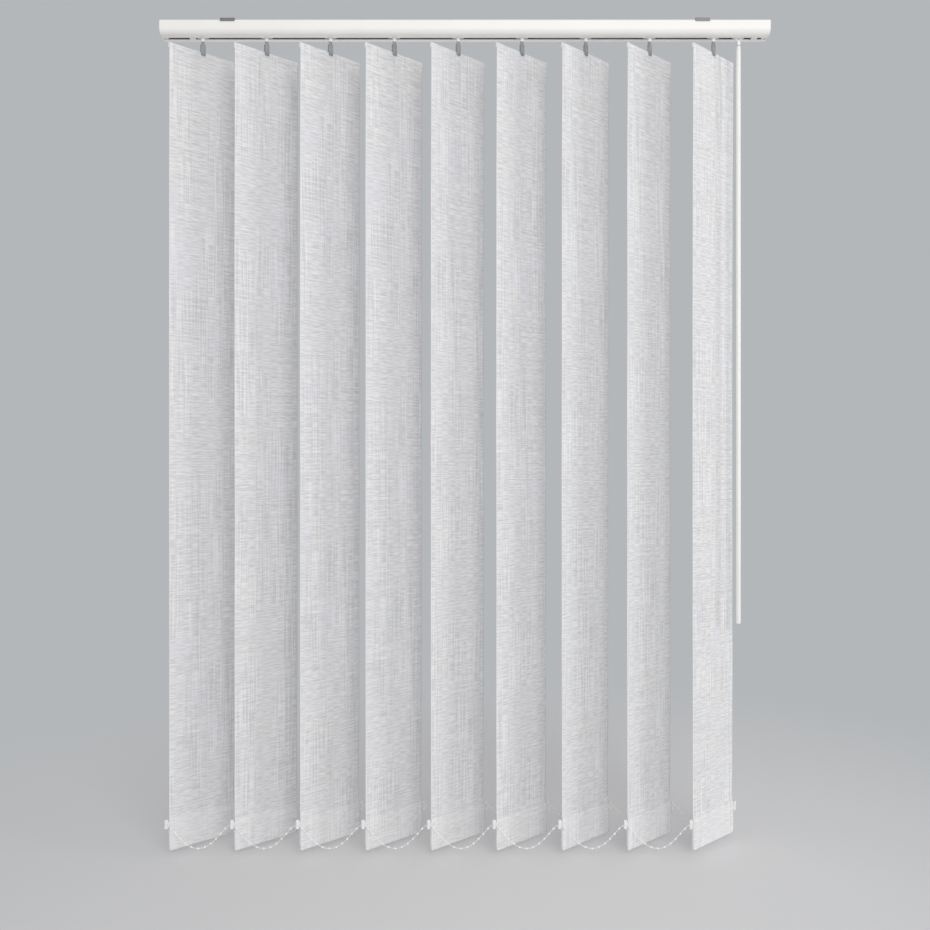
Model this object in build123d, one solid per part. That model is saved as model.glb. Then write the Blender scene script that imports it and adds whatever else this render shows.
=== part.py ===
from build123d import *
import math
import os

# Vertical blind with nine fabric slats, drawn open with the slats turned to 43.5 degrees.
# Millimetres. X runs along the headrail to the right as seen from the room, Y points away from the room
# to the window, Z is up. The origin lies on the ceiling plane, midway between the two brackets.

# Headrail: an aluminium channel with a slot along its underside
rail_length = 1060.0
rail_depth = 44.0
rail_height = 24.4
rail_wall = 1.2
rail_corner_radius = 12.0
rail_top_radius = 2.0
rail_least_radius = 0.5
slot_width = 8.0
guide_rib_offset = 14.0
guide_rib_width = 1.0
guide_rib_height = 1.6
cap_thickness = 1.5
cap_plug_length = 8.0
cap_plug_clearance = 0.3

# Ceiling brackets: spring-steel clips over the top of the rail
bracket_width = 25.0
bracket_sheet = 1.5
bracket_pad_height = 1.0
bracket_pad_width = 3.0
bracket_pad_offset = 12.0
bracket_lip_drop = 5.6
bracket_edge_flat = 0.3
bracket_inset = 118.0
bracket_hole_radius = 2.6

# Slats and their pitch along the rail
slat_count = 9
slat_width = 127.0
slat_top = 51.3
slat_bottom = 1435.3
row_start = 70.0
rest_angle = 43.5
fabric_thickness = 0.4
hem_height = 11.0
hem_weld = 1.2
hem_clearance = 0.2
pocket_height = 56.0
pocket_weld = 1.2
pocket_clearance = 0.3
fold_taper = 2.0
slat_corner_radius = 4.0
notch_width = 14.0
notch_depth = 7.2

# Hanger: the stiff strip in the top hem
hanger_overhang = 1.5
hanger_height = 9.0
hanger_thickness = 1.2
hanger_hole_radius = 1.6
hanger_hole_drop = 3.1
hanger_end_radius = 1.5

# Weight: the plate in the bottom pocket, with a pivot peg at each end
weight_thickness = 1.4
weight_height = 50.0
weight_inset = 0.5
weight_drop = 1.5
weight_corner_radius = 3.0
ear_half_height = 4.0
ear_rise = 46.3
ear_reach = 5.6
peg_offset = 4.0
peg_radius = 1.3
peg_half_height = 7.0

# Carriers, which roll inside the rail
carrier_length = 20.0
carrier_clearance = 0.6
carrier_block_height = 12.7
pedestal_width = 7.4
boss_radius = 3.65
boss_drop = 5.9
roller_radius = 3.9
roller_width = 4.8
roller_gap = 0.9
roller_lift = 0.3
axle_radius = 1.25
gear_pocket_clearance = 0.5
running_clearance = 0.3

# Tilt rod with six flutes
rod_radius = 3.0
rod_root_radius = 2.4
rod_flutes = 6
rod_offset = 10.2
rod_drop = 10.7
rod_bearing_depth = 6.0

# Stem: worm wheel, shaft and clip in one moulding
gear_radius = 5.6
gear_root_radius = 4.4
gear_teeth = 14
gear_height = 4.5
gear_floor_drop = 13.2
stem_radius = 2.0
hub_radius = 3.0
hub_height = 3.9
clip_width = 9.0
clip_wall = 0.8
clip_bottom_drop = 57.0
clip_stud_radius = 1.3
clip_edge_radius = 2.0

# Bottom chains: moulded beads and links, with a swivel clip at every slat
chain_sag = 40.0
chain_stiff_length = 9.0
chain_samples = 400
beads_per_span = 11
bead_radius = 1.7
bead_half_length = 1.7
link_radius = 0.6
swivel_height = 14.6
swivel_jaw = 2.9
swivel_width = 3.6
swivel_inner_reach = 2.4
swivel_spine_reach = 3.1
swivel_spine = 2.2
swivel_corner_radius = 1.0

# Wand and its swivel joint
wand_spacing = 44.0
wand_inset = 50.0
wand_radius = 4.0
wand_neck_radius = 3.6
wand_bottom = 1054.0
wand_tip_length = 32.0
wand_tip_flat_radius = 2.0
wand_taper = 8.0
wand_spigot_radius = 3.0
wand_spigot_length = 13.0
wand_boss_width = 14.0
wand_boss_below_rail = 0.3
wand_boss_end_flat = 1.46
knuckle_radius = 1.9
swivel_pin_radius = 0.8
ear_thickness = 1.4
first_pivot_below_rail = 3.7
pivot_spacing = 6.0
yoke_crown = 2.4
yoke_gap = 0.5
link_pin_radius = 1.5
link_collar_radius = 2.4
link_collar_height = 2.4
link_length = 15.0

# End stops clamped in the slot, each at its own distance from the rail's end
left_stop_inset = 52.5
right_stop_inset = 23.0
stop_length = 10.0
stop_height = 3.0
stop_width = 18.0
stop_proud = 0.5

# Places worked out from the sizes above; drops are measured down from the ceiling
slat_pitch = (rail_length - row_start - wand_spacing - wand_inset) / (slat_count - 1)
rail_top = bracket_sheet + bracket_pad_height
rail_bottom = rail_top + rail_height
rail_middle = rail_top + rail_height / 2
rail_end = rail_length / 2 - cap_thickness
lip_top = rail_bottom - rail_wall
channel_inset = rail_wall + carrier_clearance
carrier_top = rail_top + channel_inset
carrier_floor = carrier_top + carrier_block_height
boss_bottom = rail_bottom + boss_drop
hem_half = hanger_thickness / 2 + hem_clearance + fabric_thickness
pocket_half = weight_thickness / 2 + pocket_clearance + fabric_thickness
pocket_top = slat_bottom - pocket_height
hanger_top = slat_top + fabric_thickness + hem_clearance
ear_centre = slat_bottom - ear_rise
spine_reach = swivel_spine_reach + swivel_spine / 2
first_pivot = rail_bottom + first_pivot_below_rail
second_pivot = first_pivot + pivot_spacing
wand_top = second_pivot + wand_neck_radius + yoke_gap


def block(x, y, z):
    """A box between two values on each axis."""
    size = [abs(b - a) for a, b in (x, y, z)]
    middle = [(a + b) / 2 for a, b in (x, y, z)]
    return Pos(*middle) * Box(*size)


def upright(radius, low, high, x=0.0, y=0.0):
    """A round bar along Z."""
    return Pos(x, y, (low + high) / 2) * Cylinder(radius, abs(high - low))


def bar_x(radius, x, y, z):
    """A round bar along X, between two values of X."""
    turned = Rot(0, 90, 0) * Cylinder(radius, abs(x[1] - x[0]))
    return Pos((x[0] + x[1]) / 2, y, z) * turned


def bar_y(radius, x, y, z):
    """A round bar along Y, between two values of Y."""
    turned = Rot(90, 0, 0) * Cylinder(radius, abs(y[1] - y[0]))
    return Pos(x, (y[0] + y[1]) / 2, z) * turned


def channel_outline(inset):
    """The rail's outer section in Y and Z, drawn in by an inset."""
    outline = Rectangle(rail_depth - 2 * inset, rail_height - 2 * inset)
    low = outline.vertices().group_by(Axis.Y)[0]
    outline = fillet(low, rail_corner_radius - inset)
    high = outline.vertices().group_by(Axis.Y)[-1]
    outline = fillet(high, max(rail_top_radius - inset, rail_least_radius))
    return Pos(0, -rail_middle) * outline


def along_rail(section, start, length):
    """A section in Y and Z run along X from a start."""
    return extrude(Plane.YZ.offset(start) * section, length)


def star(outer, root, points):
    """A star outline with flanks from a root radius to an outer radius."""
    corners = []
    for k in range(2 * points):
        radius = root if k % 2 else outer
        turn = math.pi * k / points
        corners.append((radius * math.cos(turn), radius * math.sin(turn)))
    return make_face(Polyline(*corners, close=True))


def stem_x(index):
    """Where slat number index hangs along the rail, counted from 0 at the left."""
    return -rail_length / 2 + row_start + index * slat_pitch


def on_slat(shape, index):
    """Turns a shape drawn along X at the origin to the slats' rest angle and hangs it at its stem."""
    return Pos(stem_x(index), 0, 0) * Rot(0, 0, rest_angle) * shape


def make_headrail():
    rail = along_rail(channel_outline(0), -rail_end, 2 * rail_end)
    rail -= along_rail(channel_outline(rail_wall), -rail_end, 2 * rail_end)
    slot = slot_width / 2
    rail -= block((-rail_end, rail_end), (-slot, slot), (-lip_top, -rail_bottom))
    roof = rail_top + rail_wall
    for side in (-1, 1):
        edge = side * guide_rib_offset
        half = guide_rib_width / 2
        rail += block((-rail_end, rail_end), (edge - half, edge + half), (-roof, -roof - guide_rib_height))
    return rail


def make_end_cap(side):
    plate = along_rail(channel_outline(0), 0, cap_thickness)
    plug = along_rail(channel_outline(rail_wall + cap_plug_clearance), -cap_plug_length, cap_plug_length)
    roof = rail_top + rail_wall
    groove = guide_rib_width / 2 + cap_plug_clearance
    for edge in (-guide_rib_offset, guide_rib_offset):
        plug -= block(
            (-cap_plug_length, 0),
            (edge - groove, edge + groove),
            (-roof, -roof - guide_rib_height - cap_plug_clearance),
        )
    bearing = rod_radius + running_clearance
    plug -= bar_x(bearing, (-cap_plug_length, -cap_plug_length + rod_bearing_depth), rod_offset, -rod_drop)
    cap = plate + plug
    if side < 0:
        cap = mirror(cap, Plane.YZ)
    return Pos(side * rail_end, 0, 0) * cap


def make_bracket(side):
    half = bracket_width / 2
    reach = rail_depth / 2 + bracket_sheet
    bracket = block((-half, half), (-reach, reach), (0, -bracket_sheet))
    for front_or_back in (-1, 1):
        lip = (front_or_back * rail_depth / 2, front_or_back * reach)
        bracket += block((-half, half), lip, (-bracket_sheet, -bracket_lip_drop))
        middle = front_or_back * bracket_pad_offset
        pad = (middle - bracket_pad_width / 2, middle + bracket_pad_width / 2)
        bracket += block((-half, half), pad, (-bracket_sheet, -rail_top))
    front_and_back = bracket.edges().filter_by(Axis.X).group_by(Axis.Z)[-1]
    bracket = fillet(front_and_back, bracket_sheet - bracket_edge_flat)
    bracket -= upright(bracket_hole_radius, -bracket_sheet, 0)
    return Pos(side * (rail_length / 2 - bracket_inset), 0, 0) * bracket


def make_track_stops():
    """Two small stops that sit on the lips of the slot."""
    stops = []
    for x in (-rail_length / 2 + left_stop_inset, rail_length / 2 - right_stop_inset):
        ends = (x - stop_length / 2, x + stop_length / 2)
        neck = slot_width / 2 - running_clearance
        stop = block(ends, (-stop_width / 2, stop_width / 2), (-lip_top, -lip_top + stop_height))
        stop += block(ends, (-neck, neck), (-rail_bottom - stop_proud, -lip_top))
        stops.append(stop)
    return Compound(children=[part.solid() for part in stops])


def make_tilt_rod():
    length = 2 * (rail_end - cap_plug_length + rod_bearing_depth - running_clearance)
    section = Pos(rod_offset, -rod_drop) * star(rod_radius, rod_root_radius, rod_flutes)
    return along_rail(section, -length / 2, length)


def carrier_shell(half_length):
    """The block, pedestal and bores that the slat carriers and the wand carrier share."""
    shell = along_rail(channel_outline(channel_inset), -half_length, 2 * half_length)
    pedestal = pedestal_width / 2
    bottom = rail_bottom - channel_inset
    ends = (-half_length, half_length)
    for side in (-1, 1):
        shell -= block(ends, (side * pedestal, side * rail_depth / 2), (-carrier_floor, -bottom))
        edge = side * guide_rib_offset
        groove = guide_rib_width / 2 + carrier_clearance
        depth = rail_top + rail_wall + guide_rib_height + carrier_clearance
        shell -= block(ends, (edge - groove, edge + groove), (-carrier_top, -depth))
    shell -= bar_x(rod_radius + running_clearance, ends, rod_offset, -rod_drop)
    return shell


def with_rollers(shell, places):
    """Adds a pair of rollers, one on each lip of the slot, at each place along X."""
    pedestal = pedestal_width / 2
    centre = -(lip_top - roller_lift - roller_radius)
    for x in places:
        for side in (-1, 1):
            inner = side * (pedestal + roller_gap)
            outer = side * (pedestal + roller_gap + roller_width)
            shell += bar_y(roller_radius, x, (inner, outer), centre)
            shell += bar_y(axle_radius, x, (side * pedestal, inner), centre)
    return shell


def make_carrier(index):
    carrier = with_rollers(carrier_shell(carrier_length / 2), [0])
    carrier += upright(boss_radius, -(rail_bottom - channel_inset), -boss_bottom)
    carrier -= upright(gear_radius + gear_pocket_clearance, -carrier_top, -gear_floor_drop)
    carrier -= upright(stem_radius + running_clearance, -gear_floor_drop, -boss_bottom)
    return Pos(stem_x(index), 0, 0) * carrier


def make_stem(index):
    head_low = -(gear_floor_drop - running_clearance)
    head = Pos(0, 0, head_low) * extrude(star(gear_radius, gear_root_radius, gear_teeth), gear_height)
    hub_top = -(boss_bottom + running_clearance)
    clip_top = hub_top - hub_height
    half_thickness = hanger_thickness / 2 + running_clearance + clip_wall
    stem = head + upright(stem_radius, head_low, clip_top)
    stem += upright(hub_radius, hub_top, clip_top)
    blade = block(
        (-clip_width / 2, clip_width / 2), (-half_thickness, half_thickness), (clip_top, -clip_bottom_drop)
    )
    corners = blade.edges().filter_by(Axis.Y)
    blade = fillet(corners, clip_edge_radius)
    fork = hanger_thickness / 2 + running_clearance
    fork_top = -(hanger_top - running_clearance)
    blade -= block((-clip_width, clip_width), (-fork, fork), (fork_top, -clip_bottom_drop))
    stem += blade
    hole = -(hanger_top + hanger_hole_drop)
    stem += bar_y(clip_stud_radius, 0, (-half_thickness, half_thickness), hole)
    return on_slat(stem, index)


def make_hanger(index):
    half = slat_width / 2 + hanger_overhang
    strip = block(
        (-half, half),
        (-hanger_thickness / 2, hanger_thickness / 2),
        (-hanger_top, -hanger_top - hanger_height),
    )
    strip = fillet(strip.edges().filter_by(Axis.Y), hanger_end_radius)
    hole = -(hanger_top + hanger_hole_drop)
    strip -= bar_y(hanger_hole_radius, 0, (-hanger_thickness, hanger_thickness), hole)
    return on_slat(strip, index)


def slat_section():
    """Half thickness against drop, from the top fold over the sheet to the bottom fold."""
    sheet = fabric_thickness / 2
    hem_end = slat_top + hem_height
    right = [
        (hem_half, -slat_top),
        (hem_half, -hem_end),
        (sheet, -hem_end - fold_taper),
        (sheet, -pocket_top + fold_taper),
        (pocket_half, -pocket_top),
        (pocket_half, -slat_bottom),
    ]
    left = [(-y, z) for y, z in reversed(right)]
    outline = make_face(Polyline(*right, *left, close=True))
    folds = outline.vertices().group_by(Axis.Y)
    outline = fillet(folds[0], pocket_half - fabric_thickness / 2)
    outline = fillet(outline.vertices().group_by(Axis.Y)[-1], hem_half - fabric_thickness / 2)
    return outline


def cavity(half, top, bottom):
    """The room between two plies, open at both side edges."""
    wide = slat_width
    return block((-wide, wide), (-(half - fabric_thickness), half - fabric_thickness), (-top, -bottom))


def make_slat(index):
    slat = extrude(Plane.YZ.offset(-slat_width / 2) * slat_section(), slat_width)
    slat -= cavity(hem_half, slat_top + fabric_thickness, slat_top + hem_height - hem_weld)
    slat -= cavity(pocket_half, pocket_top + pocket_weld, slat_bottom - fabric_thickness)
    notch = notch_width / 2
    slat -= block((-notch, notch), (-pocket_half, pocket_half), (-slat_top, -slat_top - notch_depth))
    edge = slat_width / 2
    for side in (-1, 1):
        x = side * (edge - slat_corner_radius)
        z = -slat_bottom + slat_corner_radius
        corner = block((x, side * edge), (-pocket_half, pocket_half), (-slat_bottom, z))
        corner -= bar_y(slat_corner_radius, x, (-pocket_half, pocket_half), z)
        slat -= corner
    return on_slat(slat, index)


def make_weight(index):
    half = slat_width / 2 - weight_inset
    low = -(slat_bottom - fabric_thickness - weight_drop)
    plate = block((-half, half), (-weight_thickness / 2, weight_thickness / 2), (low, low + weight_height))
    bottom_corners = plate.edges().filter_by(Axis.Y).group_by(Axis.Z)[0]
    plate = fillet(bottom_corners, weight_corner_radius)
    for side in (-1, 1):
        peg = side * (slat_width / 2 + peg_offset)
        ear = (side * (half - weight_corner_radius), side * (slat_width / 2 + ear_reach))
        plate += block(
            ear,
            (-weight_thickness / 2, weight_thickness / 2),
            (-ear_centre - ear_half_height, -ear_centre + ear_half_height),
        )
        plate += upright(peg_radius, -ear_centre - peg_half_height, -ear_centre + peg_half_height, x=peg)
    return on_slat(plate, index)


def swivel_clip(side):
    """The chain's C-shaped clip about the origin: two jaws with an eye each, and a spine beyond them."""
    outer = swivel_spine_reach + swivel_spine
    half = swivel_height / 2
    clip = block((-swivel_inner_reach, outer), (-swivel_width / 2, swivel_width / 2), (-half, half))
    clip = fillet(clip.edges().filter_by(Axis.Y), swivel_corner_radius)
    gap = half - swivel_jaw
    clip -= block((-outer, swivel_spine_reach), (-swivel_width, swivel_width), (-gap, gap))
    clip -= upright(peg_radius + running_clearance, -half, half)
    return Rot(0, 0, rest_angle if side > 0 else rest_angle + 180) * clip


def chain_drop(along):
    """How far the chain hangs below its clips, at a distance along one span."""
    def shape(x):
        near = min(x, slat_pitch - x)
        curve = 4 * near * (slat_pitch - near) / slat_pitch**2
        stiff = 4 * chain_stiff_length / slat_pitch * (1 - math.exp(-near / chain_stiff_length))
        return curve - stiff
    return chain_sag * shape(along) / shape(slat_pitch / 2)


def chain_places():
    """Points at equal steps of length along one span, one for each bead and one at each end."""
    stations = [slat_pitch * k / chain_samples for k in range(chain_samples + 1)]
    points = [(along, -chain_drop(along)) for along in stations]
    lengths = [0.0]
    for a, b in zip(points, points[1:]):
        lengths.append(lengths[-1] + math.dist(a, b))
    places = []
    for bead in range(beads_per_span + 2):
        goal = lengths[-1] * bead / (beads_per_span + 1)
        k = min(range(len(lengths)), key=lambda n: abs(lengths[n] - goal))
        places.append(points[k])
    return places, lengths[-1]


def ring(point, run, radius):
    """Four corners about a point of the chain, square to its run."""
    x, z = point
    dx, dz = run
    return [
        Vector(x, -radius, z),
        Vector(x - dz * radius, 0, z + dx * radius),
        Vector(x, radius, z),
        Vector(x + dz * radius, 0, z - dx * radius),
    ]


def chain_span():
    """One span of beads and links as a single closed solid, from clip to clip."""
    places, _ = chain_places()
    rings = []
    last = len(places) - 1
    for k, (x, z) in enumerate(places):
        before, after = places[max(k - 1, 0)], places[min(k + 1, last)]
        length = math.dist(before, after)
        run = ((after[0] - before[0]) / length, (after[1] - before[1]) / length)
        if k in (0, last):
            rings.append(ring((x, z), run, link_radius))
            continue
        for step in (-bead_half_length, 0, bead_half_length):
            radius = link_radius if step else bead_radius
            rings.append(ring((x + step * run[0], z + step * run[1]), run, radius))
    faces = [Face(Wire.make_polygon(rings[0], close=True)), Face(Wire.make_polygon(rings[-1], close=True))]
    for near, far in zip(rings, rings[1:]):
        for k in range(len(near)):
            following = (k + 1) % len(near)
            a, b, c, d = near[k], near[following], far[following], far[k]
            faces.append(Face(Wire.make_polygon([a, b, c], close=True)))
            faces.append(Face(Wire.make_polygon([a, c, d], close=True)))
    return Solid(Shell(faces))


def make_chain(side):
    """The chain along the front edges (side -1) or the rear edges (side 1) of the slats."""
    turn = math.radians(rest_angle)
    peg = side * (slat_width / 2 + peg_offset)
    hold = peg + side * spine_reach
    span = chain_span()
    pieces = []
    for index in range(slat_count):
        x = stem_x(index)
        clip = Pos(x + peg * math.cos(turn), peg * math.sin(turn), -ear_centre) * swivel_clip(side)
        pieces.append(clip)
        if index < slat_count - 1:
            pieces.append(Pos(x + hold * math.cos(turn), hold * math.sin(turn), -ear_centre) * span)
    return pieces[0].fuse(*pieces[1:])


def wand_x():
    return stem_x(slat_count - 1) + wand_spacing


def make_wand_carrier():
    carrier = with_rollers(carrier_shell(carrier_length / 2), [0])
    half = wand_boss_width / 2
    boss_low = -(rail_bottom + wand_boss_below_rail)
    boss = block((-half, half), (-boss_radius, boss_radius), (-(rail_bottom - channel_inset), boss_low))
    boss = fillet(boss.edges().filter_by(Axis.Z), boss_radius - wand_boss_end_flat)
    carrier += boss
    inner = knuckle_radius + running_clearance
    for side in (-1, 1):
        ear = (side * inner, side * (inner + ear_thickness))
        carrier += block(ear, (-knuckle_radius, knuckle_radius), (boss_low, -first_pivot))
        carrier += bar_x(knuckle_radius, ear, 0, -first_pivot)
    carrier += bar_x(swivel_pin_radius, (-inner, inner), 0, -first_pivot)
    return Pos(wand_x(), 0, 0) * carrier


def make_wand_yoke():
    """Swings on the carrier's cross pin, and holds the wand's link on a pin of its own."""
    neck_low = -(first_pivot + yoke_crown)
    yoke = bar_x(knuckle_radius, (-knuckle_radius, knuckle_radius), 0, -first_pivot)
    yoke += block(
        (-knuckle_radius, knuckle_radius),
        (-ear_thickness, ear_thickness),
        (-first_pivot, neck_low),
    )
    yoke -= bar_x(swivel_pin_radius + running_clearance, (-wand_radius, wand_radius), 0, -first_pivot)
    barrel = upright(wand_neck_radius, -second_pivot, neck_low)
    barrel += Pos(0, 0, -second_pivot) * Sphere(wand_neck_radius)
    roof = Plane.XY.offset(neck_low)
    barrel = split(barrel, roof, keep=Keep.BOTTOM)
    gap = knuckle_radius + running_clearance
    slit_top = -(second_pivot - knuckle_radius - running_clearance)
    barrel -= block((-wand_radius, wand_radius), (-gap, gap), (slit_top, -second_pivot - wand_radius))
    yoke += barrel
    yoke += bar_y(swivel_pin_radius, 0, (-gap, gap), -second_pivot)
    return Pos(wand_x(), 0, 0) * yoke


def make_wand_link():
    """A knuckle on the yoke's pin, with the shaft that the wand turns on."""
    low = -(second_pivot + link_length)
    link = bar_y(knuckle_radius, 0, (-knuckle_radius, knuckle_radius), -second_pivot)
    link += upright(link_pin_radius, low, -second_pivot)
    link += upright(link_collar_radius, low, low + link_collar_height)
    link -= bar_y(swivel_pin_radius + running_clearance, 0, (-wand_radius, wand_radius), -second_pivot)
    return Pos(wand_x(), 0, 0) * link


def make_wand():
    """The long rod, bored at its top for the link and necked at its foot for the tip."""
    foot = -(wand_bottom - wand_tip_length)
    shoulder = -(wand_top + wand_taper)
    profile = Polyline(
        (0, -wand_top),
        (wand_neck_radius, -wand_top),
        (wand_radius, shoulder),
        (wand_radius, foot),
        (wand_spigot_radius, foot),
        (wand_spigot_radius, foot - wand_spigot_length),
        (0, foot - wand_spigot_length),
        close=True,
    )
    wand = revolve(Plane.XZ * make_face(profile), Axis.Z)
    low = -(second_pivot + link_length)
    wand -= upright(link_pin_radius + running_clearance, low, -wand_top)
    room = link_collar_radius + running_clearance
    wand -= upright(room, low - running_clearance, low + link_collar_height + running_clearance)
    return Pos(wand_x(), 0, 0) * wand


def make_wand_tip():
    top = -(wand_bottom - wand_tip_length)
    tip = upright(wand_radius, top, -wand_bottom)
    tip = fillet(tip.edges().sort_by(Axis.Z)[0], wand_radius - wand_tip_flat_radius)
    bore = wand_spigot_radius + running_clearance
    tip -= upright(bore, top, top - wand_spigot_length - running_clearance)
    return Pos(wand_x(), 0, 0) * tip


def build_parts():
    parts = {
        "headrail": make_headrail(),
        "end_cap_left": make_end_cap(-1),
        "end_cap_right": make_end_cap(1),
        "bracket_left": make_bracket(-1),
        "bracket_right": make_bracket(1),
        "track_stops": make_track_stops(),
        "tilt_rod": make_tilt_rod(),
        "front_chain": make_chain(-1),
        "rear_chain": make_chain(1),
        "wand_carrier": make_wand_carrier(),
        "wand_yoke": make_wand_yoke(),
        "wand_link": make_wand_link(),
        "wand": make_wand(),
        "wand_tip": make_wand_tip(),
    }
    for index in range(slat_count):
        number = index + 1
        parts[f"carrier_{number}"] = make_carrier(index)
        parts[f"stem_{number}"] = make_stem(index)
        parts[f"hanger_{number}"] = make_hanger(index)
        parts[f"slat_{number}"] = make_slat(index)
        parts[f"weight_{number}"] = make_weight(index)
    return parts


os.makedirs("parts", exist_ok=True)
for name, shape in build_parts().items():
    export_step(shape, f"parts/{name}.step")
print("chain length of one span", round(chain_places()[1], 1), "mm")
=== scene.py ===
# %% [markdown]
# A vertical blind, dressed step by step
#
# The blind is already built as a packed mechanism: a headrail, nine carriers with their stems, hangers,
# fabric slats, weights, two chains and a wand. This lesson gives each piece the surface that the eye
# expects. Everything is in metres, X runs along the rail, Y points to the back and Z is up, with zero
# at the face that the blind hangs from.

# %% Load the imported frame
import math
import bmesh
import bpy
from mathutils import Matrix, Vector


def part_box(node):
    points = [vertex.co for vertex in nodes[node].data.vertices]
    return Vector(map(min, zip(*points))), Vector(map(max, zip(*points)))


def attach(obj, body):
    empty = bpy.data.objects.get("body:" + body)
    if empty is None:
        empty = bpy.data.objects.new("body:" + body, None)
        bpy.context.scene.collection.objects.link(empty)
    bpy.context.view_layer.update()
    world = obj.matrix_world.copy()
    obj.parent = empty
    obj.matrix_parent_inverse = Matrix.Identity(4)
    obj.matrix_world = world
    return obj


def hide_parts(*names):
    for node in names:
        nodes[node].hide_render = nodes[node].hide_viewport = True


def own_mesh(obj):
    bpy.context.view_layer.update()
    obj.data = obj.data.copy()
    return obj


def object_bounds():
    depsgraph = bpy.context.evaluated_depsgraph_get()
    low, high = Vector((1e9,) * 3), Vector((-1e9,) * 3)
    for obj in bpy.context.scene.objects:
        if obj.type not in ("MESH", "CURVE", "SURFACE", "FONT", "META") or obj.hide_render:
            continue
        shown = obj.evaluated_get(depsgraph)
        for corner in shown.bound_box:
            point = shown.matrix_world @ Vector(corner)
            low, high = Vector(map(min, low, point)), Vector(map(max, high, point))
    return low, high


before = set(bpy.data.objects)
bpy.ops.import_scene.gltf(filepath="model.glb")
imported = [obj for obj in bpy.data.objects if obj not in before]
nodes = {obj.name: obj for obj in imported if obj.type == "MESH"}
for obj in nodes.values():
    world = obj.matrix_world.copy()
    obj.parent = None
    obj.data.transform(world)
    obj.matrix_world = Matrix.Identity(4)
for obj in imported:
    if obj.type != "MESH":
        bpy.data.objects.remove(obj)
cad_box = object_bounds()
MM = 0.001
print("pieces in the frame:", len(nodes))

# %% [markdown]
# Helpers for colours, nodes and pieces
#
# Shaders work in linear light, while a given colour is written as an sRGB hex value, so one
# function turns one into the other. Node trees get long when every node takes five lines, so one small
# function adds a node with its settings and links. Many nodes only sum, scale or compare single values,
# so their kind has a short name. The other helpers start a material and put an object in the scene.

# %% Colour and node helpers
MATH = "ShaderNodeMath"


def linear(hex_colour):
    """An sRGB hex colour as the linear RGBA that shaders take."""
    channels = [int(hex_colour[i:i + 2], 16) / 255 for i in (1, 3, 5)]
    straight = [c / 12.92 if c <= 0.04045 else ((c + 0.055) / 1.055) ** 2.4 for c in channels]
    return (*straight, 1.0)


def add(tree, kind, settings=None, links=None):
    """Adds a node. Settings are attributes or input values. Links are inputs with the sockets that they
    take, where a node stands for its first output."""
    node = tree.nodes.new(kind)
    for name, value in (settings or {}).items():
        if isinstance(name, str) and hasattr(node, name):
            setattr(node, name, value)
        else:
            node.inputs[name].default_value = value
    for name, source in (links or {}).items():
        socket = source.outputs[0] if isinstance(source, bpy.types.Node) else source
        tree.links.new(socket, node.inputs[name])
    return node


def new_material(name, settings):
    """A material with one main shader, whose constant values are set on its own sockets."""
    material = bpy.data.materials.new(name)
    material.use_nodes = True
    tree = material.node_tree
    shader = tree.nodes["Principled BSDF"]
    for socket, value in settings.items():
        shader.inputs[socket].default_value = value
    return material, tree, shader


print("middle grey in linear light:", round(linear("#808080")[0], 3))

# %% Object helpers


def in_scene(name, data):
    """A new object in the scene, at the origin."""
    item = bpy.data.objects.new(name, data)
    bpy.context.scene.collection.objects.link(item)
    return item


def mesh_object(name, points, faces, material):
    """A mesh object at the origin from points and faces in the frame's own metres."""
    mesh = bpy.data.meshes.new(name)
    mesh.from_pydata([tuple(p) for p in points], [], faces)
    mesh.materials.append(material)
    return in_scene(name, mesh)


# %% [markdown]
# The studio
#
# The camera stands 1.7 m in front of the rail and 0.775 m below the face that the blind hangs from. It
# looks level, so that upright lines stay upright. The world is a soft white tent that lights the blind
# from everywhere, and camera rays see it as a plain light grey, against which the off-white fabric
# stands out. A large soft lamp stands in front, and a smaller one on the right only reaches the front
# edges of the slats, so that each slat darkens softly towards its rear edge. A weak one at the back
# lights the lips of the rail's slot.

# %% Camera
camera_place = (0.0, -1.708, -0.775)
camera_lens = 37.66
sensor_width = 36.0
camera = in_scene("camera", bpy.data.cameras.new("camera"))
camera.location = camera_place
camera.rotation_euler = (math.radians(90), 0, 0)
camera.data.lens = camera_lens
camera.data.sensor_width = sensor_width
bpy.context.scene.camera = camera
bpy.context.scene.view_settings.view_transform = "Standard"
print("the camera sees", round(2 * math.degrees(math.atan(sensor_width / 2 / camera_lens)), 1), "degrees")

# %% World
tent_strength = 0.52
tent_colour = "#FDFDFF"
backdrop_colour = "#B4B7BA"
world = bpy.data.worlds.new("studio")
bpy.context.scene.world = world
world.use_nodes = True
tree = world.node_tree
tree.nodes.clear()
path = add(tree, "ShaderNodeLightPath")
seen = add(tree, MATH, {"operation": "MAXIMUM"},
           {0: path.outputs["Is Camera Ray"], 1: path.outputs["Is Transmission Ray"]})
shown = add(tree, MATH, {"operation": "MAXIMUM"}, {0: seen, 1: path.outputs["Is Glossy Ray"]})
tent = add(tree, "ShaderNodeBackground", {"Color": linear(tent_colour), "Strength": tent_strength})
plain = add(tree, "ShaderNodeBackground", {"Color": linear(backdrop_colour), "Strength": 1.0})
both = add(tree, "ShaderNodeMixShader", {}, {0: shown, 1: tent, 2: plain})
add(tree, "ShaderNodeOutputWorld", {}, {"Surface": both})
print("nodes in the world:", len(tree.nodes))

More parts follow.
